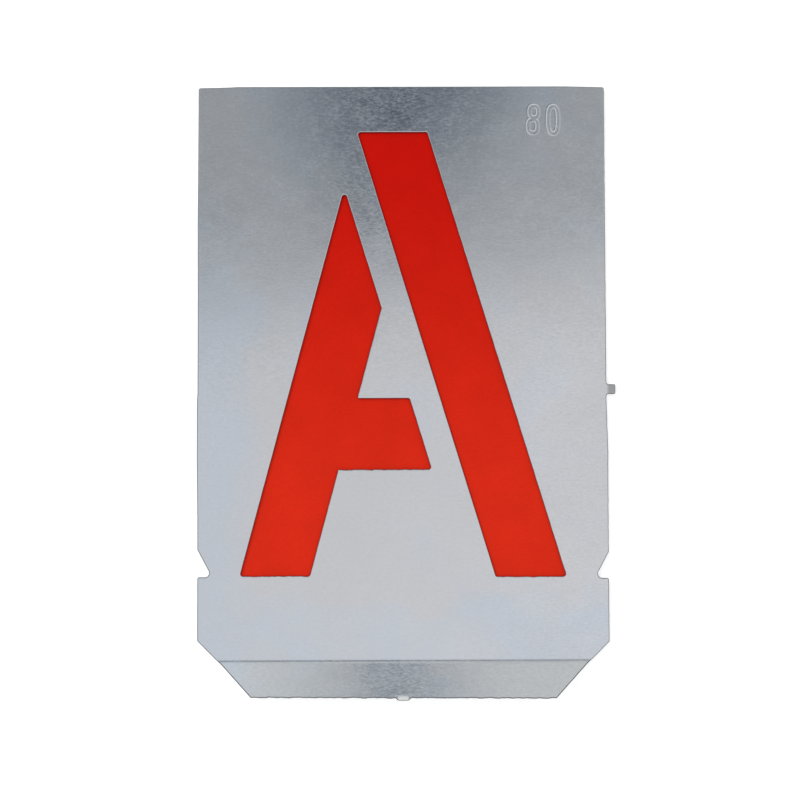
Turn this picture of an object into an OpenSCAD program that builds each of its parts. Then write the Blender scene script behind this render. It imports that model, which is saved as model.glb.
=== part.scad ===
// A lettering stencil: a thin metal sheet with the letter A cut through it.
// The letter is cut as two openings, and the bridge of metal between them keeps
// the inside of the letter in place. The lower edge of the sheet is bent up as
// a grip, and the sheet lies loose on a coloured backing card.
// Lengths are in millimetres and angles in degrees.
// The origin is the middle of the card's underside. +X points to the right of
// the letter, +Y towards its top, and +Z up out of the sheet.

/* [Sheet] */
// Thickness of the sheet metal
sheet_t = 0.35; // [0.25:0.05:0.6]
// Metal between the letter's feet and each side of the plate
side_margin = 7.55; // [6:0.05:12]
// Metal between the top of the letter and the top edge
top_margin = 8.35; // [6:0.05:14]
// Metal between the letter's baseline and the bend
foot_margin = 14.7; // [12:0.05:18]
// Radius of the two top corners
top_corner_r = 0.3; // [0.1:0.1:2]
// Length of the slanted cut across each lower corner, measured along the side
corner_cut = 3.25; // [2:0.05:6]

/* [Grip] */
// Length of the bent-up grip past its bend
grip_l = 6.85; // [5.5:0.05:10]
// Angle of the grip above the flat of the plate
grip_angle = 25; // [22:1:45]
// Inside radius of the bend
bend_r = 1.2; // [0.2:0.05:1.5]
// Distance of the grip's free corners from the sides of the plate
grip_inset = 9.7; // [7:0.1:14]

/* [Letter] */
// Height of the letter, which is the stencil's nominal size
cap_h = 80; // [72:0.5:95]
// Width of the letter at its feet
letter_w = 58.1; // [54:0.1:66]
// Thickness of the strokes, square to their edges
stroke_t = 12; // [10:0.1:13]
// Lean of the right stroke from upright
stem_lean = 17; // [16:0.2:18]
// Lean of the left stroke from upright
leg_lean = 15; // [14:0.2:16]
// Width of the metal bridge between the two openings
bridge_w = 5.3; // [3.5:0.1:6.5]
// Height of the crossbar's lower edge above the baseline
bar_up = 19.05; // [17:0.05:21]
// Thickness of the crossbar
bar_t = 12.75; // [11:0.05:14]
// Radius in the corners of the openings
opening_r = 0.45; // [0.1:0.05:1]
// Radius on the corners of metal that stand into the openings
inner_corner_r = 0.2; // [0.05:0.05:0.6]

/* [Side notches] */
// Depth of the notch's sharp corner, before it is rounded
notch_d = 2.45; // [1.8:0.05:3]
// Height of the notch's mouth along the side of the plate
notch_h = 4.6; // [4:0.1:6]
// Distance of the notch's floor below the baseline
notch_drop = 0.35; // [0:0.05:1]
// Radius inside the notch
notch_r = 0.75; // [0.2:0.05:0.9]
// Radius on the edges of the notch's mouth
notch_lip_r = 0.25; // [0.1:0.05:0.3]

/* [Break-off tabs] */
// Length of the stub of the tab on the right side
side_tab_l = 1.5; // [0.8:0.1:2.5]
// Width of that stub
side_tab_w = 1.8; // [1:0.1:3]
// Height of that stub's middle above the baseline
side_tab_up = 33.3; // [20:0.1:60]
// Length of the stub of the tab under the grip
foot_tab_l = 0.5; // [0.5:0.05:1.2]
// Width of that stub at its tip
foot_tab_w = 1.8; // [1:0.1:3]
// Radius where each stub meets the sheet
tab_root_r = 0.45; // [0.1:0.05:0.5]
// Radius on the outer corners of the stub on the side
tab_tip_r = 0.15; // [0.05:0.05:0.4]

/* [Backing card] */
// Thickness of the card
card_t = 0.3; // [0.2:0.05:0.6]
// Distance of the card's edges from those of the flat of the plate
card_inset = 3.6; // [3.2:0.1:4.5]
// Radius of the card's corners
card_corner_r = 2; // [0.5:0.5:4]

/* [Hidden] */
$fn = 96;

// Widest angle that one straight step of a rounded corner turns through, and the
// least number of steps in a corner
arc_step = 12;
least_steps = 4;
// How far a cutting solid runs past the faces it cuts
past = 1;

// The flat of the plate, which the letter and its margins fill
plate_w = letter_w + 2 * side_margin;
plate_h = cap_h + top_margin + foot_margin;
half_w = plate_w / 2;
top_y = plate_h / 2;
bend_y = -plate_h / 2;
baseline_y = bend_y + foot_margin;

// The bend turns about a line above the sheet, and its outside is the underside
bend_outer_r = bend_r + sheet_t;
bend_axis_z = sheet_t + bend_r;
// Length of the bend from above, which the slanted corner cuts run across
bend_reach = bend_outer_r * sin(grip_angle);
// Directions in the side view: along the grip, and square to it upwards
along_grip = [-cos(grip_angle), sin(grip_angle)];
off_grip = [sin(grip_angle), cos(grip_angle)];
// The grip narrows evenly from the slanted corners to its free edge
grip_root_half = half_w - corner_cut - bend_reach;
grip_end_half = half_w - grip_inset;

// Places of the letter's edges at a height y above the baseline
stem_slope = tan(stem_lean);
leg_slope = tan(leg_lean);
stem_foot_w = stroke_t / cos(stem_lean);
leg_foot_w = stroke_t / cos(leg_lean);
bridge_foot_w = bridge_w / cos(stem_lean);
bar_top = bar_up + bar_t;

function stem_right(y) = letter_w / 2 - y * stem_slope;
function stem_left(y) = stem_right(y) - stem_foot_w;
function bridge_left(y) = stem_left(y) - bridge_foot_w;
function leg_left(y) = -letter_w / 2 + y * leg_slope;
function leg_right(y) = leg_left(y) + leg_foot_w;

// Heights at which the edges of the left stroke run into the bridge
counter_top = (bridge_left(0) - leg_right(0)) / (stem_slope + leg_slope);
leg_top = (bridge_left(0) - leg_left(0)) / (stem_slope + leg_slope);

function unit(v) = v / norm(v);

// The arc that rounds the corner at b, between the edges towards a and c
function corner_arc(a, b, c) =
    let (
        corner = [b.x, b.y],
        to_a = unit([a.x, a.y] - corner),
        to_c = unit([c.x, c.y] - corner),
        half = acos(to_a * to_c) / 2,
        centre = corner + unit(to_a + to_c) * b[2] / sin(half),
        first = corner + to_a * b[2] / tan(half) - centre,
        side = sign(to_a.y * to_c.x - to_a.x * to_c.y),
        sweep = side * (180 - 2 * half),
        start = atan2(first.y, first.x),
        steps = max(least_steps, ceil(abs(sweep) / arc_step))
    )
    [for (i = [0:steps])
        let (angle = start + sweep * i / steps)
        centre + b[2] * [cos(angle), sin(angle)]];

// Corners written [x, y, radius] as plain points, and a radius of 0 stays sharp
function rounded(corners) =
    let (count = len(corners))
    [for (i = [0:count - 1])
        let (
            before = corners[(i + count - 1) % count],
            here = corners[i],
            after = corners[(i + 1) % count]
        )
        each here[2] > 0 ? corner_arc(before, here, after) : [[here.x, here.y]]];

// The same corners on the other side of the middle line, in turning order
function mirrored(corners) =
    [for (i = [len(corners) - 1:-1:0])
        [-corners[i].x, corners[i].y, corners[i][2]]];

// The notch beside the baseline: a square floor and a slanted upper side
function notch() =
    let (floor_y = baseline_y - notch_drop)
    [
        [half_w, floor_y, notch_lip_r],
        [half_w - notch_d, floor_y, notch_r],
        [half_w, floor_y + notch_h, notch_lip_r]
    ];

// The stub left where the plate was broken from the sheet beside it
function side_tab() =
    let (
        middle_y = baseline_y + side_tab_up,
        low = middle_y - side_tab_w / 2,
        high = middle_y + side_tab_w / 2,
        end_x = half_w + side_tab_l
    )
    [
        [half_w, low, tab_root_r],
        [end_x, low, tab_tip_r],
        [end_x, high, tab_tip_r],
        [half_w, high, tab_root_r]
    ];

// The plate from above, running straight on past the bend for the grip
function plate_outline() =
    let (grip_reach = bend_outer_r + grip_l + foot_tab_l + past)
    [
        [-grip_root_half, bend_y - grip_reach, 0],
        [grip_root_half, bend_y - grip_reach, 0],
        [grip_root_half, bend_y - bend_reach, 0],
        [half_w, bend_y + corner_cut, 0],
        each notch(),
        each side_tab(),
        [half_w, top_y, top_corner_r],
        [-half_w, top_y, top_corner_r],
        each mirrored(notch()),
        [-half_w, bend_y + corner_cut, 0],
        [-grip_root_half, bend_y - bend_reach, 0]
    ];

// The sheet from the side, as points [y, z]: the flat, the bend and the grip
function side_profile() =
    let (
        bend_end = [bend_y, bend_axis_z] - bend_outer_r * off_grip,
        tip = bend_end + (grip_l + foot_tab_l) * along_grip,
        tip_top = tip + sheet_t * off_grip,
        half_turn = tan(grip_angle / 2)
    )
    [
        [top_y + past, 0, 0],
        [top_y + past, sheet_t, 0],
        [bend_y - bend_r * half_turn, sheet_t, bend_r],
        [tip_top.x, tip_top.y, 0],
        [tip.x, tip.y, 0],
        [bend_y - bend_outer_r * half_turn, 0, bend_outer_r]
    ];

// The grip laid flat, with the end of the bend on the X axis
function grip_outline() =
    let (tip_half = foot_tab_w / 2)
    [
        [grip_root_half, past, 0],
        [-grip_root_half, past, 0],
        [-grip_root_half, 0, 0],
        [-grip_end_half, -grip_l, 0],
        [-tip_half, -grip_l, tab_root_r],
        [-tip_half, -grip_l - foot_tab_l - past, 0],
        [tip_half, -grip_l - foot_tab_l - past, 0],
        [tip_half, -grip_l, tab_root_r],
        [grip_end_half, -grip_l, 0],
        [grip_root_half, 0, 0]
    ];

// The opening for the right stroke, from the baseline up
function stem_opening() = [
    [stem_left(0), 0, opening_r],
    [stem_right(0), 0, opening_r],
    [stem_right(cap_h), cap_h, opening_r],
    [stem_left(cap_h), cap_h, opening_r]
];

// The opening for the left stroke and the crossbar, ending at the bridge
function leg_opening() = [
    [leg_left(0), 0, opening_r],
    [leg_right(0), 0, opening_r],
    [leg_right(bar_up), bar_up, inner_corner_r],
    [bridge_left(bar_up), bar_up, opening_r],
    [bridge_left(bar_top), bar_top, opening_r],
    [leg_right(bar_top), bar_top, inner_corner_r],
    [leg_right(counter_top), counter_top, opening_r],
    [leg_left(leg_top), leg_top, opening_r]
];

// The sheet bent across its whole width, before its outline is cut
module bent_sheet() {
    translate([-half_w - past, 0, 0])
        rotate([90, 0, 90])
            linear_extrude(plate_w + side_tab_l + 2 * past) polygon(rounded(side_profile()));
}

module outline_cutter() {
    translate([0, 0, -past])
        linear_extrude(bend_axis_z + grip_l + foot_tab_l + 2 * past)
            polygon(rounded(plate_outline()));
}

module opening_cutter(corners) {
    translate([0, baseline_y, -past])
        linear_extrude(sheet_t + 2 * past) polygon(rounded(corners));
}

// What is cut away around the grip, square to the grip's own faces
module grip_trim() {
    trim_l = grip_l + foot_tab_l + past;
    translate([0, bend_y, bend_axis_z])
        rotate([-grip_angle, 0, 0])
            translate([0, 0, -bend_outer_r - past])
                linear_extrude(sheet_t + 2 * past)
                    difference() {
                        translate([-half_w, -trim_l]) square([plate_w, trim_l]);
                        polygon(rounded(grip_outline()));
                    }
}

module stencil_plate() {
    color([0.72, 0.74, 0.76])
        translate([0, 0, card_t])
            difference() {
                intersection() {
                    bent_sheet();
                    outline_cutter();
                }
                opening_cutter(stem_opening());
                opening_cutter(leg_opening());
                grip_trim();
            }
}

module backing_card() {
    half_card_w = half_w - card_inset;
    half_card_h = plate_h / 2 - card_inset;
    color([0.82, 0.16, 0.08])
        linear_extrude(card_t)
            polygon(rounded([
                [-half_card_w, -half_card_h, card_corner_r],
                [half_card_w, -half_card_h, card_corner_r],
                [half_card_w, half_card_h, card_corner_r],
                [-half_card_w, half_card_h, card_corner_r]
            ]));
}

stencil_plate();
backing_card();
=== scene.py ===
"""The looks of a lettering stencil: a zinc plate with a cut-out letter on a red card.

The plate is rebuilt as a fine mesh over its plain solid, with rolled and ragged
cut edges, a slightly uneven face and pressed figures. Lengths are in metres.
"""

import math

import bpy
import numpy as np
from mathutils import Matrix, Vector, noise
from mathutils.geometry import delaunay_2d_cdt


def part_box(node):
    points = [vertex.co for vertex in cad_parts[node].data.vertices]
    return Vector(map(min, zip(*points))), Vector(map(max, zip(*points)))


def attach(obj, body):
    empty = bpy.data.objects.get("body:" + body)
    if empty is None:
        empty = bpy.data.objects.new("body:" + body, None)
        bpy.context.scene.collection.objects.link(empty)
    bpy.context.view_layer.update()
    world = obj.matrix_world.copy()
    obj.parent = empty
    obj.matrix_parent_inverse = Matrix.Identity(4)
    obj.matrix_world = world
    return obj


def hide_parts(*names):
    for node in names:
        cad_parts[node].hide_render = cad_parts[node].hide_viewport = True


MM = 0.001

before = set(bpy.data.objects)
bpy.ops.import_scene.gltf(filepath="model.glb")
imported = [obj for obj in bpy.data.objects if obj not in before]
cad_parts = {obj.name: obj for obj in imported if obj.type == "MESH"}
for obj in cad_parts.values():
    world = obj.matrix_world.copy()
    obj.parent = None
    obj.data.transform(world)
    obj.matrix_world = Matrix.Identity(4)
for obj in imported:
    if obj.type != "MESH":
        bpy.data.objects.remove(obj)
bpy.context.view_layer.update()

plate_low, plate_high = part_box("stencil_plate")

# The plate's outline, from the solid and from the sizes of its details
HALF_W = -plate_low[0]
TOP_Y = plate_high[1]
BEND_Y = -TOP_Y
SHEET_Z = plate_low[2]
SHEET_T = 0.35 * MM
TOP_CORNER_R = 0.3 * MM
GRIP_ANGLE = math.radians(25)
BEND_R = 1.2 * MM
FOOT_MARGIN = 14.7 * MM
BASELINE_Y = BEND_Y + FOOT_MARGIN
# The lower corners as cut, right and left: the slanted cut's length along the side,
# the inset at the end of the bend, the inset of the free corner, the grip's length there
RIGHT_CORNER = (3.05 * MM, 3.77 * MM, 9.7 * MM, 7.0 * MM)
LEFT_CORNER = (3.35 * MM, 4.07 * MM, 9.6 * MM, 6.65 * MM)
GRIP_L = 6.83 * MM

# The notches as cut, right and left: depth, height along the side and how far the
# floor lies below the baseline
RIGHT_NOTCH = (2.45 * MM, 4.6 * MM, 0.40 * MM)
LEFT_NOTCH = (2.6 * MM, 4.85 * MM, 0.05 * MM)
NOTCH_R = 0.75 * MM
NOTCH_LIP_R = 0.25 * MM

SIDE_TAB_L = plate_high[0] - HALF_W
SIDE_TAB_W = 1.72 * MM
SIDE_TAB_UP = 33.36 * MM
FOOT_TAB_L = 0.45 * MM
FOOT_TAB_W = 1.75 * MM
FOOT_TAB_ROOT_W = 2.75 * MM
FOOT_TAB_X = -0.08 * MM
TAB_ROOT_R = 0.45 * MM
TAB_TIP_R = 0.2 * MM
# Breaking the foot tab off bent it back down, from a little above the free edge.
#  Its pale colour is a painted highlight, and the side tab is made dull: darker and rougher
FOOT_TAB_DROOP = math.radians(24)
FOOT_TAB_BEND = 0.15 * MM
FOOT_TAB_SPREAD = 0.5 * MM
# Where the foot tab's painted highlight starts: height over the free edge and distance in
#  from the ends of its root, each with the length of its fade
PALE_UP = 0.45 * MM
PALE_UP_FADE = 0.3 * MM
PALE_INSET = 0.4 * MM
PALE_INSET_FADE = 0.1 * MM
# How dull the side tab is, how far inside the plate's side that starts, and its fade
SIDE_TAB_DULL = 0.45
DULL_INSET = 0.1 * MM
DULL_FADE = 0.5 * MM
# The right side is stepped out a little under its tab
STEP_OUT = 0.1 * MM
STEP_IN = 0.12 * MM
STEP_LOW_UP = 22.5 * MM
STEP_HIGH_UP = 31.2 * MM
# The left side bulges a little: (how far out, height above the baseline)
LEFT_BULGE = [
    (0.02 * MM, 10 * MM), (0.15 * MM, 21 * MM), (0.15 * MM, 30 * MM),
    (0.13 * MM, 31.6 * MM), (0.06 * MM, 32.8 * MM), (0.06 * MM, 50 * MM),
    (0.12 * MM, 63 * MM), (0.06 * MM, 72 * MM), (0.03 * MM, 80 * MM),
]
# The top edge droops towards both corners: (distance in from the side, drop)
RIGHT_DROOP = [(7 * MM, 0.0), (2.8 * MM, 0.11 * MM), (0.0, 0.18 * MM)]
LEFT_DROOP = [(0.0, 0.20 * MM), (3.1 * MM, 0.16 * MM), (7.4 * MM, 0.0)]

# The letter
CAP_H = 80 * MM
LETTER_W = 58.1 * MM
STROKE_T = 12 * MM
STEM_LEAN = math.radians(17)
LEG_LEAN = math.radians(15)
BRIDGE_W = 5.3 * MM
BAR_UP = 19.05 * MM
BAR_T = 12.75 * MM
# The two openings' feet are a little out of line
STEM_FOOT_Y = -0.1 * MM
LEG_FOOT_Y = 0.1 * MM
OPENING_R = 0.45 * MM
INNER_CORNER_R = 0.25 * MM

# How finely the mesh is divided
ARC_STEP = math.radians(15)
ARC_LEAST_PARTS = 4
EDGE_STEP = 0.3 * MM
FACE_STEP = 1.6 * MM
BEND_PARTS = 10
FIGURE_STEP = 0.05 * MM
FIGURE_LOOP_PARTS = 240
TAB_STEP = 0.14 * MM
# The finely divided fields at the tabs: to each side of the foot tab's middle and up
# from the free edge, and in from the plate's side and to each side of the side tab's middle
FOOT_TAB_FIELD = (1 * MM, 0.7 * MM)
SIDE_TAB_FIELD = (0.5 * MM, 0.6 * MM)
# How far the coarse grid keeps from the bend and from the figures, and how far all
# points inside the face keep from its rim
BEND_CLEARANCE = 0.4 * FACE_STEP
FIGURE_CLEARANCE = 0.3 * FACE_STEP
RIM_CLEARANCE = 0.8 * EDGE_STEP
# Points of the face closer together than this many millimetres are one
WELD_MM = 1e-6

# The way a cut edge turns down from the face, in millimetres: (distance in from
#  the edge, depth below the upper face, how dark the edge is painted). That darkness is painted shade
#  of the cut's wall and its contact shadow.
ROLLED_EDGE = [
    (0.22, 0.0, 0.0), (0.135, 0.0, 0.0), (0.11, 0.0025, 0.0), (0.09, 0.008, 0.3), (0.07, 0.02, 1.0),
    (0.04, 0.042, 1.0), (0.012, 0.085, 1.0), (0.0, 0.14, 1.0), (0.0, 0.31, 1.0), (0.03, 0.35, 0.0),
]
SHEARED_EDGE = [
    (0.24, 0.0, 0.0), (0.165, 0.0, 0.0), (0.14, 0.0025, 0.1), (0.12, 0.008, 0.6), (0.10, 0.016, 1.0),
    (0.06, 0.038, 1.0), (0.02, 0.078, 1.0), (0.0, 0.12, 1.0), (0.0, 0.32, 1.0), (0.03, 0.35, 0.0),
]
# Widest rim as a share of the radius of the corner that it runs round
RIM_SHARE = 0.7
# Share of its width that the rim loses along the grip's free edge
FREE_EDGE_LOSS = 0.5
# A smaller turn than this between two steps of an outline counts as none
LEAST_TURN = 1e-6
# Least cosine of half the turn where a rim is widened to go round a corner
LEAST_SPREAD = 0.6
# Depth of the waves left along the cuts: at the letter's feet and the grip's free
# edge, at the right sides of the openings, and elsewhere
ROUGH_CUT = 0.13 * MM
SIDE_CUT = 0.035 * MM
CLEAN_CUT = 0.014 * MM
# How squarely an edge faces the way that a rule is for, as powers of the cosine
ROUGH_FACING = 8
SIDE_FACING = 2
FREE_EDGE_FACING = 4
# Length of the waves along the cuts, of the finer ones on them, and the finer ones' share
CUT_WAVE_L = 1.6 * MM
FINE_WAVE_L = 0.5 * MM
FINE_WAVE_SHARE = 0.6
OUTLINE_SEED = 1
OPENING_SEEDS = (11, 23)
FINE_SEED_STEP = 7
# Rise and length of the slow waves and of the small dents in the face of the sheet.
# The slow waves start above the bend and come in over a short way.
FACE_WAVE = 0.05 * MM
FACE_WAVE_L = 26 * MM
FACE_WAVE_FADE = 8 * MM
FACE_WAVE_SEED = 2.5
FACE_DENT = 0.005 * MM
FACE_DENT_L = 5 * MM
FACE_DENT_SEED = 7.5

# The pressed figures: middle, half width and half height of each loop, and how
# deeply it is pressed
FIGURE_LOOPS = [
    (23.87 * MM, 46.91 * MM, 0.77 * MM, 1.04 * MM, 0.9),
    (23.66 * MM, 44.29 * MM, 0.85 * MM, 1.21 * MM, 0.9),
    (27.34 * MM, 45.44 * MM, 0.90 * MM, 2.47 * MM, 1.0),
]
FIGURE_SQUARENESS = 2.6
# Each stroke is a shallow channel with a low bulge along both of its sides
FIGURE_DEPTH = 0.0125 * MM
FIGURE_WALL = (0.19 * MM, 0.33 * MM)
FIGURE_BULGE_H = 0.0075 * MM
FIGURE_BULGE_AT = 0.36 * MM
FIGURE_BULGE_W = 0.08 * MM
FIGURE_REACH = 0.6 * MM

# The look of the zinc. A pattern is given as its waves for a metre (one number, or one
# across, one along and one through the sheet), how finely it is detailed and how rough.
GRAIN = ((1400, 2800, 2800), 2.0, 0.6)
WISPS = ((300, 420, 420), 3.0, 0.6)
STREAKS = ((1500, 3600, 3600), 3.0, 0.7)
CLOUDS = ((55, 75, 75), 4.0, 0.5)
TINGE = (62, 4.0, 0.6)
WARP = (90, 2.0, 0.5)
# Shares of grain, wisps and clouds in the tone, and of streaks and wisps in how the
# sheet scatters light and in its relief
TONE_SHARES = (0.45, 0.2, 0.35)
SCATTER_SHARES = (0.8, 0.2)
RELIEF_SHARES = (0.4, 0.6)
# The part of each pattern's range that is used, and for the tinge what it becomes
TONE_RANGE = (0.35, 0.65)
SCATTER_RANGE = (0.38, 0.7)
WIDE_RANGE = (0.3, 0.7)
TINGE_RANGE = (0.32, 0.68, -0.35, 0.55)
# How far the tone varies at the lower left, and from where to where it grows to its
#  full amount: to the right, upwards, and on the grip, where it is a little less. The grain is real;
#      its growth is painted glints, standing in for scratches catching light where the reflection is
#      dark
WEAK_TONE = 0.033
FULL_TONE = 0.072
GRIP_TONE = 0.06
TONE_RIGHT = (5 * MM, 30 * MM)
TONE_UP = (0.0, 25 * MM)
TONE_GRIP = (-51.5 * MM, -52.0 * MM)
# The sheet is bluer above its bend and at its lower left side: where it turns blue,
# how blue it gets, where that ends, and how far the border wanders
LOW_BLUE_START = (-39.5 * MM, -44.5 * MM)
LOW_BLUE = 0.72
LOW_BLUE_END = 0.4 * MM
LEFT_BLUE_START = (-21 * MM, -32 * MM)
LEFT_BLUE = 0.9
LEFT_BLUE_END = (30 * MM, 8 * MM)
BLUE_WARP = 2.5 * MM
ZINC_GREY = (0.722, 0.727, 0.757, 1)
ZINC_BLUE = (0.683, 0.731, 0.806, 1)
ZINC_HIGHLIGHT = (0.95, 0.96, 0.95, 1)
# Dark colour for the painted shade along the cut edges, also used to darken the side tab
ZINC_DARK = (0.15, 0.152, 0.155, 1)
# Share of the painted edge shade that is kept where the foot tab's painted highlight is full
HIGHLIGHT_CUT_SHARE = 0.6
# Roughness of the face from cloud to cloud, and what is added to it elsewhere
FACE_ROUGHNESS = (0.04, 0.06)
STREAK_ROUGHNESS = 0.13
CUT_ROUGHNESS = 0.3
HIGHLIGHT_ROUGHNESS = 0.3
CREASE_ROUGHNESS = 0.12
CREASE_TOP = (-51.2 * MM, -51.5 * MM)
CREASE_FOOT = (-52.4 * MM, -51.9 * MM)
RELIEF_H = 0.004 * MM

# The look of the card: its colour at the foot of the letter, a painted shade that darkens it towards
# the head, and its fibres
CARD_LIT_RED = (0.765, 0.026, 0.0085, 1)
CARD_SHADED_RED = (0.60, 0.0055, 0.0018, 1)
CARD_SHADE_FADE = (-35 * MM, 45 * MM)
CARD_SHADES = (0.89, 1.08)
CARD_ROUGHNESS = 0.7
CARD_SHINE = 0.06
CARD_CLOUDS = (130, 3.0, 0.5)
FIBRES = ((1500, 3000, 2400), 4.0, 0.65)
FIBRE_SHARE = 0.5
FIBRE_RELIEF = 0.6
FIBRE_H = 0.02 * MM

# Studio light. Directions in the sky are given as X / Z and Y / Z.
# The tent's light beside the camera and far off, and where one turns into the other
TENT_LIGHT = 0.767
TENT_FAR_LIGHT = 0.769
TENT_FAR_START = (0.5, 0.9)
# It grows to the right beside the camera, and to the left far off, up to a limit on
# each side
TENT_SLOPE = 0.26
TENT_FAR_SLOPE = -0.55
TENT_SLOPE_END = 0.3
# From here on, towards the head of the letter, the tent is a little dimmer
TENT_DIM = 0.972
TENT_DIM_START = (0.0, 0.09)
# The dim opening: where its edges fade, how its near edge leans, and its share of light
OPENING_NEAR = (0.1055, 0.1625)
OPENING_FAR = (0.62, 0.95)
OPENING_SIDE = (0.11, 0.24)
OPENING_SLOPE = 0.096
OPENING_SHARE = 0.57
# Dark strips of the far side: middle, lean, half width, inner and outer edge in half
# widths, near end, length of the rounded end, share of light held back near and far
STRIPS = [
    (0.004, -0.025, 0.030, 1.36, 1.87, 0.25, 0.064, 0.18, 0.085),
    (0.0, 0.002, 0.015, 0.63, 1.38, 0.163, 0.022, 0.34, 0.15),
    (0.0105, 0.001, 0.045, 0.13, 1.27, 0.196, 0.016, 0.44, 0.44),
]
# Where the strips' middles are given, from where to where they change, and the share of
# their tint that is left far off
STRIP_MIDDLE_Y = 0.2
STRIP_CHANGE = (0.3, 1.0)
STRIP_FAR_TINT = 0.5
# Share of the light at the horizon, how high up (Z) it is full, and where below it ends
HORIZON_LIGHT = 0.45
HORIZON_TOP = 0.3
HORIZON_FOOT = -0.05
# Directions lower than this (Z) count as this low
LEAST_RISE = 0.05
WHITE = (1.0, 1.0, 1.0, 1)
OPENING_TINT = (0.949, 1.0, 1.02, 1)
FAR_TINT = (0.972, 1.0, 0.985, 1)
FAR_TINT_START = (0.6, 0.9)
STRIP_TINT = (0.763, 1.0, 1.318, 1)

FLOOR_HALF = 3.0
FLOOR_WHITE = (0.85, 0.85, 0.85, 1)
FLOOR_GLOW = 0.45

KEY_PLACE = (-0.70, 0.58, 0.66)
KEY_SIZE = 0.5
KEY_WATTS = 4.5

# The photograph's camera, fitted to the plate's straight edges: where it stands, how it
# is turned about its own X, Y and Z in degrees, and its lens and sensor in millimetres
CAMERA_PLACE = (-0.004147, -0.050915, 0.49921)
CAMERA_TURN = (5.2235, -0.4218, -0.1756)
CAMERA_LENS = 125.97
CAMERA_SENSOR = 36.0


# Outlines


def stem_right(y):
    return LETTER_W / 2 - y * math.tan(STEM_LEAN)


def stem_left(y):
    return stem_right(y) - STROKE_T / math.cos(STEM_LEAN)


def bridge_left(y):
    return stem_left(y) - BRIDGE_W / math.cos(STEM_LEAN)


def leg_left(y):
    return -LETTER_W / 2 + y * math.tan(LEG_LEAN)


def leg_right(y):
    return leg_left(y) + STROKE_T / math.cos(LEG_LEAN)


def stem_opening():
    return [
        (stem_left(0), STEM_FOOT_Y, OPENING_R),
        (stem_right(0), STEM_FOOT_Y, OPENING_R),
        (stem_right(CAP_H), CAP_H, OPENING_R),
        (stem_left(CAP_H), CAP_H, OPENING_R),
    ]


def leg_opening():
    bar_top = BAR_UP + BAR_T
    closing = math.tan(STEM_LEAN) + math.tan(LEG_LEAN)
    counter_top = (bridge_left(0) - leg_right(0)) / closing
    leg_top = (bridge_left(0) - leg_left(0)) / closing
    return [
        (leg_left(0), LEG_FOOT_Y, OPENING_R),
        (leg_right(0), LEG_FOOT_Y, OPENING_R),
        (leg_right(BAR_UP), BAR_UP, INNER_CORNER_R),
        (bridge_left(BAR_UP), BAR_UP, OPENING_R),
        (bridge_left(bar_top), bar_top, OPENING_R),
        (leg_right(bar_top), bar_top, INNER_CORNER_R),
        (leg_right(counter_top), counter_top, OPENING_R),
        (leg_left(leg_top), leg_top, OPENING_R),
    ]


def bend_length():
    """Length of the bend along the middle of the sheet's thickness."""
    return (BEND_R + SHEET_T / 2) * GRIP_ANGLE


def mirrored(corners):
    """The same corners on the left side, in the order that keeps the metal on the left."""
    return [(-x, y, r) for x, y, r in reversed(corners)]


def lower_corner(cut, bend_inset, free_inset, grip_l):
    """The right lower corner, from the grip's free edge up to the side."""
    bend_end = BEND_Y - bend_length()
    return [
        (HALF_W - free_inset, bend_end - grip_l, 0),
        (HALF_W - bend_inset, bend_end, 0),
        (HALF_W - cut, BEND_Y, 0),
        (HALF_W, BEND_Y + cut, 0),
    ]


def side_notch(depth, height, drop):
    """The right notch beside the baseline: a square floor and a slanted upper side."""
    floor_y = BASELINE_Y - drop
    return [
        (HALF_W, floor_y, NOTCH_LIP_R),
        (HALF_W - depth, floor_y, NOTCH_R),
        (HALF_W, floor_y + height, NOTCH_LIP_R),
    ]


def plate_outline():
    """The plate laid flat, before the grip is bent up."""
    low = BASELINE_Y + SIDE_TAB_UP - SIDE_TAB_W / 2
    high = low + SIDE_TAB_W
    end_x = HALF_W + SIDE_TAB_L
    side_tab = [
        (HALF_W + STEP_OUT, BASELINE_Y + STEP_LOW_UP, 0),
        (HALF_W - STEP_IN, BASELINE_Y + STEP_HIGH_UP, 0),
        (HALF_W - STEP_IN, low, TAB_ROOT_R),
        (end_x, low, TAB_TIP_R),
        (end_x, high, TAB_TIP_R),
        (HALF_W - STEP_IN, high, TAB_ROOT_R),
    ]
    grip_end = BEND_Y - bend_length() - GRIP_L
    tip, root = FOOT_TAB_W / 2, FOOT_TAB_ROOT_W / 2
    foot_tab = [
        (FOOT_TAB_X - root, grip_end, 0),
        (FOOT_TAB_X - tip, grip_end - FOOT_TAB_L, 0),
        (FOOT_TAB_X + tip, grip_end - FOOT_TAB_L, 0),
        (FOOT_TAB_X + root, grip_end, 0),
    ]
    top = []
    for inset, drop in reversed(RIGHT_DROOP):
        top.append((HALF_W - inset, TOP_Y - drop, 0 if inset else TOP_CORNER_R))
    for inset, drop in reversed(LEFT_DROOP):
        top.append((inset - HALF_W, TOP_Y - drop, 0 if inset else TOP_CORNER_R))
    right = lower_corner(*RIGHT_CORNER) + side_notch(*RIGHT_NOTCH) + side_tab
    left = [(-HALF_W - out, BASELINE_Y + up, 0) for out, up in reversed(LEFT_BULGE)]
    left += mirrored(side_notch(*LEFT_NOTCH)) + mirrored(lower_corner(*LEFT_CORNER))
    return foot_tab + right + top + left


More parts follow.
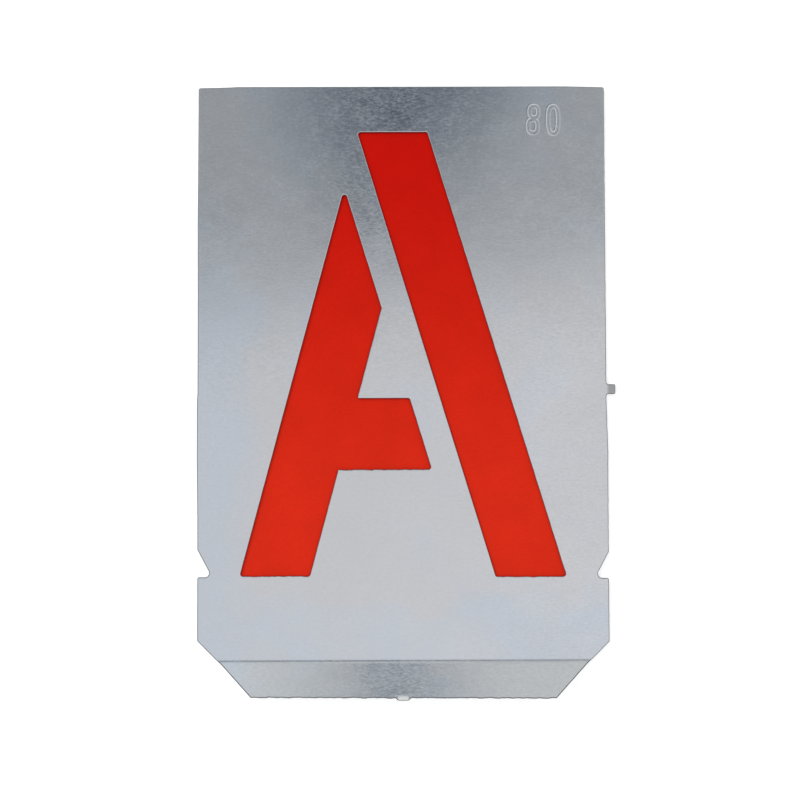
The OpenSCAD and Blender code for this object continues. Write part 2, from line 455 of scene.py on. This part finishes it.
def corner_arc(before, corner, after):
    """Points of the arc that rounds a corner, touching both of its edges."""
    here = np.array(corner[:2])
    to_a = np.array(before[:2]) - here
    to_c = np.array(after[:2]) - here
    to_a /= np.linalg.norm(to_a)
    to_c /= np.linalg.norm(to_c)
    half = math.acos(float(to_a @ to_c)) / 2
    inward = (to_a + to_c) / np.linalg.norm(to_a + to_c)
    centre = here + inward * corner[2] / math.sin(half)
    first = here + to_a * corner[2] / math.tan(half) - centre
    side = math.copysign(1, to_a[1] * to_c[0] - to_a[0] * to_c[1])
    sweep = side * (math.pi - 2 * half)
    start = math.atan2(first[1], first[0])
    steps = max(ARC_LEAST_PARTS, math.ceil(abs(sweep) / ARC_STEP))
    angles = [start + sweep * i / steps for i in range(steps + 1)]
    return [centre + corner[2] * np.array([math.cos(a), math.sin(a)]) for a in angles]


def rounded(corners):
    """Points of an outline whose corners, given as X, Y and radius, are rounded."""
    points = []
    for i, corner in enumerate(corners):
        if corner[2] > 0:
            points += corner_arc(corners[i - 1], corner, corners[(i + 1) % len(corners)])
        else:
            points.append(np.array(corner[:2]))
    return points


def divided(points):
    """The same outline with no step longer than EDGE_STEP, and its bend in even parts."""
    fine = []
    for i, start in enumerate(points):
        step = points[(i + 1) % len(points)] - start
        across_bend = abs(start[1] + step[1] / 2 - BEND_Y + bend_length() / 2) < bend_length() / 2
        parts = BEND_PARTS if across_bend else max(1, math.ceil(np.linalg.norm(step) / EDGE_STEP))
        fine += [start + step * k / parts for k in range(parts)]
    return np.array(fine)


def outward(points):
    """Unit directions out of the metal, on the outline's left, and how far a rim is widened."""
    along = np.roll(points, -1, axis=0) - points
    along /= np.linalg.norm(along, axis=1)[:, None]
    before = np.roll(along, 1, axis=0)
    middle = along + before
    middle /= np.linalg.norm(middle, axis=1)[:, None]
    spread = np.sum(middle * along, axis=1)
    normal = np.stack([middle[:, 1], -middle[:, 0]], axis=1)
    return normal, 1 / np.maximum(spread, LEAST_SPREAD)


def smooth_noise(point, length, seed):
    """Smooth noise between -1 and 1 at a point of the sheet, with waves of some length."""
    return noise.noise(Vector((point[0] / length, point[1] / length, seed)))


def ragged(points, seed, rough_side):
    """The outline with the small waves of shearing, deepest where it faces up (1) or down (-1)."""
    normal, _ = outward(points)
    moved = points.copy()
    for i, (point, direction) in enumerate(zip(points, normal)):
        across = max(0.0, direction[1] * rough_side) ** ROUGH_FACING
        beside = max(0.0, -direction[0] * rough_side) ** SIDE_FACING
        if abs(point[0] - FOOT_TAB_X) <= FOOT_TAB_ROOT_W / 2 and point[1] < BEND_Y:
            across = 0.0
        depth = max(CLEAN_CUT, ROUGH_CUT * across, SIDE_CUT * beside)
        coarse = smooth_noise(point, CUT_WAVE_L, seed)
        fine = smooth_noise(point, FINE_WAVE_L, seed + FINE_SEED_STEP)
        moved[i] += direction * depth * (coarse + FINE_WAVE_SHARE * fine)
    return moved


# The plate's mesh


def rim_width(points, normal):
    """Share of its width that the rim has: less along the free edge and round tight corners."""
    on_grip = points[:, 1] < BEND_Y - bend_length()
    free_edge = on_grip * np.maximum(-normal[:, 1], 0) ** FREE_EDGE_FACING
    step = np.linalg.norm(np.roll(points, -1, axis=0) - points, axis=1)
    turn = np.cross(normal, np.roll(normal, -1, axis=0))
    room = RIM_SHARE * step / np.maximum(turn, LEAST_TURN) / (SHEARED_EDGE[0][0] * MM)
    return np.minimum(1 - FREE_EDGE_LOSS * free_edge, np.minimum(room, np.roll(room, 1)))


def set_in(loop, inset):
    """The loop moved into the metal by an inset in millimetres, where the rim has its full width."""
    normal, widen = outward(loop)
    widen = widen * rim_width(loop, normal)
    return loop - normal * (widen * inset * MM)[:, None]


def figure_height(points):
    """Height of the stamped figures over the face at each point."""
    nearest = np.full(len(points), FIGURE_REACH)
    press = np.zeros(len(points))
    turn = np.linspace(0, 2 * math.pi, FIGURE_LOOP_PARTS, endpoint=False)
    cos, sin = np.cos(turn), np.sin(turn)
    power = 2 / FIGURE_SQUARENESS
    for x, y, half_w, half_h, strength in FIGURE_LOOPS:
        path_x = x + half_w * np.sign(cos) * np.abs(cos) ** power
        path_y = y + half_h * np.sign(sin) * np.abs(sin) ** power
        near = np.hypot(points[:, 0] - x, points[:, 1] - y) < half_h + FIGURE_REACH
        gaps = np.hypot(points[near, 0][:, None] - path_x, points[near, 1][:, None] - path_y)
        nearest[near] = np.minimum(nearest[near], gaps.min(axis=1))
        press[near] = strength
    wall = np.clip((FIGURE_WALL[1] - nearest) / (FIGURE_WALL[1] - FIGURE_WALL[0]), 0, 1)
    channel = FIGURE_DEPTH * wall * wall * (3 - 2 * wall)
    bulge = FIGURE_BULGE_H * np.exp(-((nearest - FIGURE_BULGE_AT) / FIGURE_BULGE_W) ** 2)
    return press * np.where(nearest < FIGURE_REACH, bulge - channel, 0)


def face_wave(points):
    """Slow rise and fall of the sheet, which never dips under its underside."""
    waves = []
    for point in points:
        wave = 0.5 + 0.5 * smooth_noise(point, FACE_WAVE_L, FACE_WAVE_SEED)
        dent = 0.5 + 0.5 * smooth_noise(point, FACE_DENT_L, FACE_DENT_SEED)
        flat = min(1.0, max(0.0, (point[1] - BEND_Y) / FACE_WAVE_FADE))
        waves.append(flat * FACE_WAVE * wave + FACE_DENT * dent)
    return np.array(waves)


def bent(points, height):
    """Points of the flat sheet, at a height over its underside, once the grip is bent up."""
    x, y = points[:, 0], points[:, 1]
    past = np.maximum(BEND_Y - y, 0)
    angle = np.minimum(past / (BEND_R + SHEET_T / 2), GRIP_ANGLE)
    straight = np.maximum(past - bend_length(), 0)
    beside_tab = np.abs(x - FOOT_TAB_X) - FOOT_TAB_ROOT_W / 2
    fold = FOOT_TAB_BEND * np.clip(-beside_tab / FOOT_TAB_SPREAD, 0, 1)
    tab = np.maximum(straight - GRIP_L + fold, 0) * np.clip(1 - beside_tab / FOOT_TAB_SPREAD, 0, 1)
    straight = straight - tab
    tab_angle = GRIP_ANGLE - FOOT_TAB_DROOP
    radius = BEND_R + SHEET_T - height
    new_y = np.maximum(y, BEND_Y) - radius * np.sin(angle)
    new_y -= straight * math.cos(GRIP_ANGLE) + tab * math.cos(tab_angle)
    new_z = SHEET_Z + SHEET_T + BEND_R - radius * np.cos(angle)
    new_z += straight * math.sin(GRIP_ANGLE) + tab * math.sin(tab_angle)
    return np.stack([x, new_y, new_z], axis=1)


def inside(points, loop):
    """Which points lie inside a closed outline."""
    hit = np.zeros(len(points), bool)
    for (x0, y0), (x1, y1) in zip(loop, np.roll(loop, -1, axis=0)):
        if y0 == y1:
            continue
        crosses = (y0 > points[:, 1]) != (y1 > points[:, 1])
        hit ^= crosses & (points[:, 0] < x0 + (points[:, 1] - y0) * (x1 - x0) / (y1 - y0))
    return hit


def in_metal(points, loops):
    """Which points lie inside the plate's outline and outside its openings."""
    kept = inside(points, loops[0])
    for opening in loops[1:]:
        kept &= ~inside(points, opening)
    return kept


def grid(low, high, step):
    """Points in rows and columns, from the lower left corner to the upper right one."""
    columns = np.arange(low[0], high[0], step)
    rows = np.arange(low[1], high[1], step)
    return np.stack(np.meshgrid(columns, rows), axis=-1).reshape(-1, 2)


def figure_field():
    """Lower left and upper right corner of the field that the figures lie in."""
    left = min(loop[0] - loop[2] for loop in FIGURE_LOOPS) - FIGURE_REACH
    right = max(loop[0] + loop[2] for loop in FIGURE_LOOPS) + FIGURE_REACH
    bottom = min(loop[1] - loop[3] for loop in FIGURE_LOOPS) - FIGURE_REACH
    top = max(loop[1] + loop[3] for loop in FIGURE_LOOPS) + FIGURE_REACH
    return (left, bottom), (right, top)


def coarse_points():
    """A coarse grid over the whole sheet but for the bend and the figures."""
    bend_end = BEND_Y - bend_length()
    low = (-HALF_W, bend_end - RIGHT_CORNER[3] - FOOT_TAB_L)
    points = grid(low, (HALF_W + SIDE_TAB_L, TOP_Y), FACE_STEP)
    x, y = points[:, 0], points[:, 1]
    in_bend = (y < BEND_Y + BEND_CLEARANCE) & (y > bend_end - BEND_CLEARANCE)
    (left, bottom), (right, top) = figure_field()
    on_figures = (x > left - FIGURE_CLEARANCE) & (x < right + FIGURE_CLEARANCE)
    on_figures &= (y > bottom - FIGURE_CLEARANCE) & (y < top + FIGURE_CLEARANCE)
    return points[~in_bend & ~on_figures]


def tab_points():
    """Fine grids at the foot tab and the side tab."""
    half, up = FOOT_TAB_FIELD
    free_edge = BEND_Y - bend_length() - GRIP_L
    foot = grid((FOOT_TAB_X - half, free_edge), (FOOT_TAB_X + half, free_edge + up), TAB_STEP)
    inset, half = SIDE_TAB_FIELD
    middle = BASELINE_Y + SIDE_TAB_UP
    side = grid((HALF_W - inset, middle - half), (HALF_W + SIDE_TAB_L, middle + half), TAB_STEP)
    return [foot, side]


def face_points(loops):
    """Points inside the face: a coarse grid, rows along the bend and finer grids."""
    rows = [BEND_Y - bend_length() * i / BEND_PARTS for i in range(BEND_PARTS + 1)]
    across = np.arange(-HALF_W, HALF_W, FACE_STEP / 2)
    bend_rows = np.array([(x, y) for y in rows for x in across])
    figures = grid(*figure_field(), FIGURE_STEP)
    points = np.vstack([coarse_points(), bend_rows, figures] + tab_points())
    points = points[in_metal(points, loops)]
    rim = np.vstack(loops)
    clear = np.array([np.hypot(rim[:, 0] - x, rim[:, 1] - y).min() for x, y in points])
    return points[clear > RIM_CLEARANCE]


def face_triangles(loops):
    """The face as points and triangles, and where each loop's points are among them."""
    points = np.vstack(loops + [face_points(loops)])
    edges, starts, start = [], [], 0
    for loop in loops:
        count = len(loop)
        edges += [(start + i, start + (i + 1) % count) for i in range(count)]
        starts.append(start)
        start += count
    result = delaunay_2d_cdt([Vector(p) for p in points / MM], edges, [], 0, WELD_MM)
    verts, _, faces, originals = result[:4]
    flat = np.array([(v[0], v[1]) for v in verts]) * MM
    place = {old: new for new, olds in enumerate(originals) for old in olds}
    middles = np.array([flat[list(face)].mean(axis=0) for face in faces])
    triangles = [tuple(face) for face, keep in zip(faces, in_metal(middles, loops)) if keep]
    rims = [[place[start + i] for i in range(len(loop))] for start, loop in zip(starts, loops)]
    return flat, facing_up(flat, triangles), rims


def facing_up(flat, triangles):
    """The triangles, each in the turning order that faces up."""
    corners = flat[np.array(triangles)]
    turn = np.cross(corners[:, 1] - corners[:, 0], corners[:, 2] - corners[:, 0])
    return [t if turning > 0 else t[::-1] for t, turning in zip(triangles, turn)]


def side_tab_dullness(points):
    """How dull the sheet is at each point: it turns dull across the side tab's root."""
    return SIDE_TAB_DULL * np.clip((points[:, 0] - HALF_W + DULL_INSET) / DULL_FADE, 0, 1)


def foot_tab_highlight(points):
    """How strongly the foot tab's painted highlight shows at each point."""
    past = BEND_Y - bend_length() - GRIP_L + PALE_UP - points[:, 1]
    beside = FOOT_TAB_ROOT_W / 2 - PALE_INSET - np.abs(points[:, 0] - FOOT_TAB_X)
    return np.clip(past / PALE_UP_FADE, 0, 1) * np.clip(beside / PALE_INSET_FADE, 0, 1)


def cut_loops():
    """The plate's outline and its two openings as cut, with the metal on the left of each."""
    loops = [ragged(divided(rounded(plate_outline())), OUTLINE_SEED, -1)]
    for seed, corners in zip(OPENING_SEEDS, (stem_opening(), leg_opening())):
        raised = [(x, y + BASELINE_Y, r) for x, y, r in corners]
        loops.append(ragged(divided(rounded(raised))[::-1], seed, 1))
    return loops


def joined(above, below):
    """Faces between two rings of as many points, with the metal on their left."""
    count = len(above)
    following = [(i + 1) % count for i in range(count)]
    return [(above[i], below[i], below[k], above[k]) for i, k in enumerate(following)]


class Parts:
    """The sheet's points and faces as they are added, with their painted edge shade, the side tab's
    darkening and the foot tab's painted highlight.
    """

    def __init__(self):
        self.vertices = []
        self.faces = []
        self.darkness = []
        self.highlight_shares = []
        self.count = 0

    def add(self, flat, height, dark=0.0):
        """Add points of the flat sheet at a height over its underside, and give their numbers."""
        self.vertices.append(bent(flat, height))
        self.darkness.append(np.maximum(dark, side_tab_dullness(flat)))
        self.highlight_shares.append(foot_tab_highlight(flat))
        first = self.count
        self.count += len(flat)
        return list(range(first, self.count))


def sheet_parts():
    """The sheet's upper and lower face, and a turned-down rim round each loop."""
    loops = cut_loops()
    profiles = [SHEARED_EDGE] + [ROLLED_EDGE] * len(OPENING_SEEDS)
    faces_in = [set_in(loop, profile[0][0]) for loop, profile in zip(loops, profiles)]
    flat, triangles, rims = face_triangles(faces_in)
    lift, figures = face_wave(flat), figure_height(flat)
    parts = Parts()
    parts.add(flat, SHEET_T + lift + figures)
    parts.add(flat, lift + figures)
    count = len(flat)
    parts.faces += triangles + [tuple(i + count for i in t[::-1]) for t in triangles]
    for loop, profile, rim in zip(loops, profiles, rims):
        rim_lift = face_wave(loop)
        above = rim
        for inset, depth, dark in profile[1:-1]:
            below = parts.add(set_in(loop, inset), SHEET_T - depth * MM + rim_lift, dark)
            parts.faces += joined(above, below)
            above = below
        parts.faces += joined(above, [i + count for i in rim])
    return parts


def plate_mesh():
    parts = sheet_parts()
    mesh = bpy.data.meshes.new("plate_sheet")
    mesh.from_pydata(np.vstack(parts.vertices).tolist(), [], parts.faces)
    for name, values in (("edge_shade_and_dark_tab", parts.darkness), ("painted_highlight_tab", parts.highlight_shares)):
        layer = mesh.attributes.new(name, "FLOAT", "POINT")
        layer.data.foreach_set("value", np.concatenate(values).astype(np.float32))
    mesh.validate()
    mesh.update()
    mesh.shade_smooth()
    return mesh


# Materials


class Shader:
    """A short way to add nodes to a material or world and join them."""

    def __init__(self, owner):
        owner.use_nodes = True
        self.tree = owner.node_tree
        self.tree.nodes.clear()

    def add(self, kind, values=None, **settings):
        node = self.tree.nodes.new(kind)
        for name, value in settings.items():
            setattr(node, name, value)
        for name, value in (values or {}).items():
            if isinstance(value, bpy.types.NodeSocket):
                self.tree.links.new(value, node.inputs[name])
            else:
                node.inputs[name].default_value = value
        return node

    def math(self, operation, first, second=0.0, clamp=False):
        node = self.add("ShaderNodeMath", {0: first, 1: second}, operation=operation, use_clamp=clamp)
        return node.outputs[0]

    def times(self, first, second):
        return self.math("MULTIPLY", first, second)

    def plus(self, first, second):
        return self.math("ADD", first, second)

    def minus(self, first, second):
        return self.math("SUBTRACT", first, second)

    def larger(self, first, second):
        return self.math("MAXIMUM", first, second)

    def blend(self, sockets, shares):
        """Sum of sockets, each times its own share."""
        total = self.times(sockets[0], shares[0])
        for socket, share in zip(sockets[1:], shares[1:]):
            total = self.plus(total, self.times(socket, share))
        return total

    def noise(self, place, scale, detail, roughness):
        if isinstance(scale, tuple):
            place = self.add("ShaderNodeMapping", {"Vector": place, "Scale": scale}).outputs[0]
            scale = 1.0
        values = {"Vector": place, "Scale": scale, "Detail": detail, "Roughness": roughness}
        return self.add("ShaderNodeTexNoise", values).outputs["Fac"]

    def ramp(self, value, low, high, out_low=0.0, out_high=1.0, smooth=False):
        kind = "SMOOTHSTEP" if smooth else "LINEAR"
        values = {"Value": value, "From Min": low, "From Max": high}
        values |= {"To Min": out_low, "To Max": out_high}
        return self.add("ShaderNodeMapRange", values, interpolation_type=kind).outputs[0]

    def mix(self, share, first, second):
        node = self.add("ShaderNodeMix", data_type="RGBA")
        for place, value in ((0, share), (6, first), (7, second)):
            socket = node.inputs[place]
            if isinstance(value, bpy.types.NodeSocket):
                self.tree.links.new(value, socket)
            else:
                socket.default_value = value
        return node.outputs[2]

    def output(self, shader, kind="ShaderNodeOutputMaterial"):
        self.tree.links.new(shader, self.add(kind).inputs["Surface"])


def zinc_tone(shader, where, patterns):
    """Brightness of the sheet about 1: grain, wisps and clouds, weaker at the lower left; where they
    grow stronger they are partly painted glints.
    """
    right = shader.ramp(where["X"], *TONE_RIGHT, WEAK_TONE, FULL_TONE, smooth=True)
    upper = shader.ramp(where["Y"], *TONE_UP, WEAK_TONE, FULL_TONE, smooth=True)
    grip = shader.ramp(where["Y"], *TONE_GRIP, WEAK_TONE, GRIP_TONE)
    # Painted glints: the grain is stronger to the right, upwards and on the grip
    contrast = shader.larger(shader.larger(right, upper), grip)
    tone = shader.ramp(shader.blend(patterns, TONE_SHARES), *TONE_RANGE, -1.0, 1.0)
    return shader.plus(shader.times(tone, contrast), 1.0)


def zinc_blueness(shader, place, where):
    """How blue the sheet is: more above its bend and at its lower left side."""
    warp = shader.ramp(shader.noise(place, *WARP), *WIDE_RANGE, -BLUE_WARP, BLUE_WARP)
    low = shader.ramp(shader.plus(where["Y"], warp), *LOW_BLUE_START, 0.0, LOW_BLUE, smooth=True)
    low = shader.times(low, shader.ramp(where["Y"], BEND_Y - LOW_BLUE_END, BEND_Y))
    left = shader.ramp(shader.plus(where["X"], warp), *LEFT_BLUE_START, 0.0, LEFT_BLUE, smooth=True)
    left = shader.times(left, shader.ramp(where["Y"], *LEFT_BLUE_END, smooth=True))
    tinge = shader.ramp(shader.noise(place, *TINGE), *TINGE_RANGE)
    return shader.math("ADD", shader.larger(low, left), tinge, clamp=True)


def zinc_roughness(shader, where, clouds, streaks, wisps, cut, tab_highlight):
    """Streaks left by rolling scatter the light, and bending roughened the crease."""
    scatter = shader.blend((streaks, wisps), SCATTER_SHARES)
    scatter = shader.ramp(scatter, *SCATTER_RANGE, 0.0, STREAK_ROUGHNESS)
    face = shader.plus(shader.ramp(clouds, *WIDE_RANGE, *FACE_ROUGHNESS), scatter)
    crease = shader.ramp(where["Y"], *CREASE_TOP, smooth=True)
    crease = shader.times(crease, shader.ramp(where["Y"], *CREASE_FOOT, smooth=True))
    shares = (CUT_ROUGHNESS, HIGHLIGHT_ROUGHNESS, CREASE_ROUGHNESS)
    return shader.plus(face, shader.blend((cut, tab_highlight, crease), shares))


def zinc_material():
    """Rolled zinc: bright metal with a fine grain, streaks, clouds and a bluish tarnish, with painted
    shade along its cut edges and a painted highlight on the foot tab.
    """
    material = bpy.data.materials.new("zinc_sheet")
    shader = Shader(material)
    place = shader.add("ShaderNodeTexCoord").outputs["Object"]
    where = shader.add("ShaderNodeSeparateXYZ", {"Vector": place}).outputs
    grain = shader.noise(place, *GRAIN)
    wisps = shader.noise(place, *WISPS)
    streaks = shader.noise(place, *STREAKS)
    clouds = shader.noise(place, *CLOUDS)
    # Painted highlight on the foot tab, and painted shade along the cut edges that also darkens the
    # side tab
    tab_highlight = shader.add("ShaderNodeAttribute", attribute_name="painted_highlight_tab").outputs["Fac"]
    cut = shader.add("ShaderNodeAttribute", attribute_name="edge_shade_and_dark_tab").outputs["Fac"]
    cut = shader.times(cut, shader.ramp(tab_highlight, 0.0, 1.0, 1.0, HIGHLIGHT_CUT_SHARE))
    face = shader.mix(zinc_blueness(shader, place, where), ZINC_GREY, ZINC_BLUE)
    tone = zinc_tone(shader, where, (grain, wisps, clouds))
    face = shader.add("ShaderNodeVectorMath", {0: face, 1: tone}, operation="MULTIPLY").outputs[0]
    # The colour takes the foot tab's painted highlight, then the painted edge shade and the side
    # tab's darkening
    colour = shader.mix(cut, shader.mix(tab_highlight, face, ZINC_HIGHLIGHT), ZINC_DARK)
    rough = zinc_roughness(shader, where, clouds, streaks, wisps, cut, tab_highlight)
    relief = shader.blend((streaks, wisps), RELIEF_SHARES)
    bump = shader.add("ShaderNodeBump", {"Height": relief, "Strength": 1.0, "Distance": RELIEF_H})
    surface = shader.add("ShaderNodeBsdfPrincipled", {
        "Base Color": colour, "Metallic": 1.0, "Roughness": rough, "Normal": bump.outputs[0],
    })
    shader.output(surface.outputs[0])
    return material


def card_material():
    """Matt red card with fine fibres; a painted shade makes it deeper red towards the head of the
    letter.
    """
    material = bpy.data.materials.new("red_card")
    shader = Shader(material)
    place = shader.add("ShaderNodeTexCoord").outputs["Object"]
    fibres = shader.noise(place, *FIBRES)
    clouds = shader.noise(place, *CARD_CLOUDS)
    height = shader.add("ShaderNodeSeparateXYZ", {"Vector": place}).outputs["Y"]
    # Painted shade: the red darkens towards the head of the letter
    base = shader.mix(shader.ramp(height, *CARD_SHADE_FADE, smooth=True), CARD_LIT_RED, CARD_SHADED_RED)
    tone = shader.blend((fibres, clouds), (FIBRE_SHARE, 1 - FIBRE_SHARE))
    tone = shader.ramp(tone, *WIDE_RANGE, *CARD_SHADES)
    toned = shader.add("ShaderNodeVectorMath", {0: base, 1: tone}, operation="MULTIPLY")
    relief = {"Height": fibres, "Strength": FIBRE_RELIEF, "Distance": FIBRE_H}
    surface = shader.add("ShaderNodeBsdfPrincipled", {
        "Base Color": toned.outputs[0], "Roughness": CARD_ROUGHNESS,
        "Specular IOR Level": CARD_SHINE, "Normal": shader.add("ShaderNodeBump", relief).outputs[0],
    })
    shader.output(surface.outputs[0])
    return material


# Studio


def floor():
    """A plain white floor that keeps the object's shadow."""
    mesh = bpy.data.meshes.new("floor")
    corners = [(-1, -1), (1, -1), (1, 1), (-1, 1)]
    points = [(x * FLOOR_HALF, y * FLOOR_HALF, 0) for x, y in corners]
    mesh.from_pydata(points, [], [(0, 1, 2, 3)])
    plane = bpy.data.objects.new("floor", mesh)
    bpy.context.scene.collection.objects.link(plane)
    material = bpy.data.materials.new("floor")
    shader = Shader(material)
    rays = shader.add("ShaderNodeLightPath").outputs
    seen = shader.larger(rays["Is Camera Ray"], rays["Is Glossy Ray"])
    seen = shader.larger(seen, rays["Is Transmission Ray"])
    matt = shader.add("ShaderNodeBsdfDiffuse", {"Color": FLOOR_WHITE}).outputs[0]
    glow = shader.add("ShaderNodeEmission", {"Strength": shader.times(seen, FLOOR_GLOW)}).outputs[0]
    shader.output(shader.add("ShaderNodeAddShader", {0: matt, 1: glow}).outputs[0])
    mesh.materials.append(material)


def sloping_light(shader, x, light, slope):
    """Light that grows to the right with the slope, up to a limit on each side."""
    change = TENT_SLOPE_END * slope
    ends = light * (1 - change), light * (1 + change)
    return shader.ramp(x, -TENT_SLOPE_END, TENT_SLOPE_END, *ends)


def tent_light(shader, x, y):
    """Light of the tent, which differs beside the camera and far off."""
    near = sloping_light(shader, x, TENT_LIGHT, TENT_SLOPE)
    far = sloping_light(shader, x, TENT_FAR_LIGHT, TENT_FAR_SLOPE)
    distance = shader.ramp(y, *TENT_FAR_START, smooth=True)
    tent = shader.plus(near, shader.times(distance, shader.minus(far, near)))
    return shader.times(tent, shader.ramp(y, *TENT_DIM_START, 1.0, TENT_DIM))


def opening_light(shader, near_edge, x, y):
    """Share of the tent's light that is left by its dim opening."""
    far_edge = shader.ramp(y, *OPENING_FAR, 1.0, 0.0, smooth=True)
    side_edge = shader.ramp(shader.math("ABSOLUTE", x), *OPENING_SIDE, 1.0, 0.0, smooth=True)
    opening = shader.times(shader.times(near_edge, far_edge), side_edge)
    return shader.ramp(opening, 0.0, 1.0, 1.0, OPENING_SHARE)


def strip_light(shader, x, y, strip):
    """Share of the light that passes a dark strip, which has a round near end."""
    middle, lean, half_w, inner, outer, end, end_l, held_near, held_far = strip
    along = shader.minus(y, STRIP_MIDDLE_Y)
    centre = shader.plus(shader.times(along, lean), middle)
    across = shader.math("DIVIDE", shader.minus(x, centre), half_w)
    before = shader.math("MINIMUM", shader.minus(y, end), 0.0)
    short = shader.math("DIVIDE", before, end_l)
    square = shader.plus(shader.times(across, across), shader.times(short, short))
    shape = shader.ramp(shader.math("SQRT", square), inner, outer, 1.0, 0.0, smooth=True)
    held = shader.times(shape, shader.ramp(y, *STRIP_CHANGE, held_near, held_far))
    return shader.minus(1.0, held)


def studio_world():
    """White to the camera, and for light a white tent with a dim opening beside the camera."""
    world = bpy.data.worlds.new("studio")
    bpy.context.scene.world = world
    shader = Shader(world)
    direction = shader.add("ShaderNodeTexCoord").outputs["Generated"]
    split = shader.add("ShaderNodeSeparateXYZ", {"Vector": direction}).outputs
    rise = shader.larger(split["Z"], LEAST_RISE)
    x = shader.math("DIVIDE", split["X"], rise)
    y = shader.math("DIVIDE", split["Y"], rise)

    leaning = shader.minus(y, shader.times(x, OPENING_SLOPE))
    near_edge = shader.ramp(leaning, *OPENING_NEAR, smooth=True)
    light = shader.times(tent_light(shader, x, y), opening_light(shader, near_edge, x, y))
    passed = 1.0
    for strip in STRIPS:
        passed = shader.times(strip_light(shader, x, y, strip), passed)
    light = shader.times(light, passed)
    horizon = shader.ramp(split["Z"], 0.0, HORIZON_TOP, HORIZON_LIGHT, 1.0)
    light = shader.times(light, shader.times(horizon, shader.ramp(split["Z"], HORIZON_FOOT, 0.0)))

    tint = shader.mix(near_edge, WHITE, OPENING_TINT)
    tint = shader.mix(shader.ramp(y, *FAR_TINT_START), tint, FAR_TINT)
    strength = shader.ramp(y, *STRIP_CHANGE, 1.0, STRIP_FAR_TINT)
    tint = shader.mix(shader.times(shader.minus(1.0, passed), strength), tint, STRIP_TINT)
    lit = shader.add("ShaderNodeBackground", {"Color": tint, "Strength": light}).outputs[0]
    white = shader.add("ShaderNodeBackground", {"Color": WHITE, "Strength": 1.0}).outputs[0]
    seen = shader.add("ShaderNodeLightPath").outputs["Is Camera Ray"]
    both = shader.add("ShaderNodeMixShader", {0: seen, 1: lit, 2: white}).outputs[0]
    shader.output(both, "ShaderNodeOutputWorld")


def key_light():
    """A soft lamp from the upper left, for the thin shadows inside the letter."""
    data = bpy.data.lights.new("key", "AREA")
    data.shape = "SQUARE"
    data.size = KEY_SIZE
    data.energy = KEY_WATTS
    lamp = bpy.data.objects.new("key", data)
    lamp.location = KEY_PLACE
    lamp.visible_glossy = False
    lamp.rotation_euler = (-lamp.location).to_track_quat("-Z", "Y").to_euler()
    bpy.context.scene.collection.objects.link(lamp)


def camera():
    """Above the plate and a little towards the grip, as the photograph was taken."""
    data = bpy.data.cameras.new("camera")
    data.sensor_width = CAMERA_SENSOR
    data.lens = CAMERA_LENS
    view = bpy.data.objects.new("camera", data)
    turn = Matrix.Identity(4)
    for axis, angle in zip("XYZ", CAMERA_TURN):
        turn = turn @ Matrix.Rotation(math.radians(angle), 4, axis)
    view.matrix_world = Matrix.Translation(CAMERA_PLACE) @ turn
    bpy.context.scene.collection.objects.link(view)
    bpy.context.scene.camera = view


bpy.context.scene.view_settings.view_transform = "Standard"
camera()
studio_world()
key_light()
floor()

plate = bpy.data.objects.new("plate_sheet", plate_mesh())
bpy.context.scene.collection.objects.link(plate)
plate.data.materials.append(zinc_material())
plate.modifiers.new("even_normals", "WEIGHTED_NORMAL").keep_sharp = True
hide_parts("stencil_plate")
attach(plate, "plate")

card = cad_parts["backing_card"]
card.data.materials.clear()
card.data.materials.append(card_material())
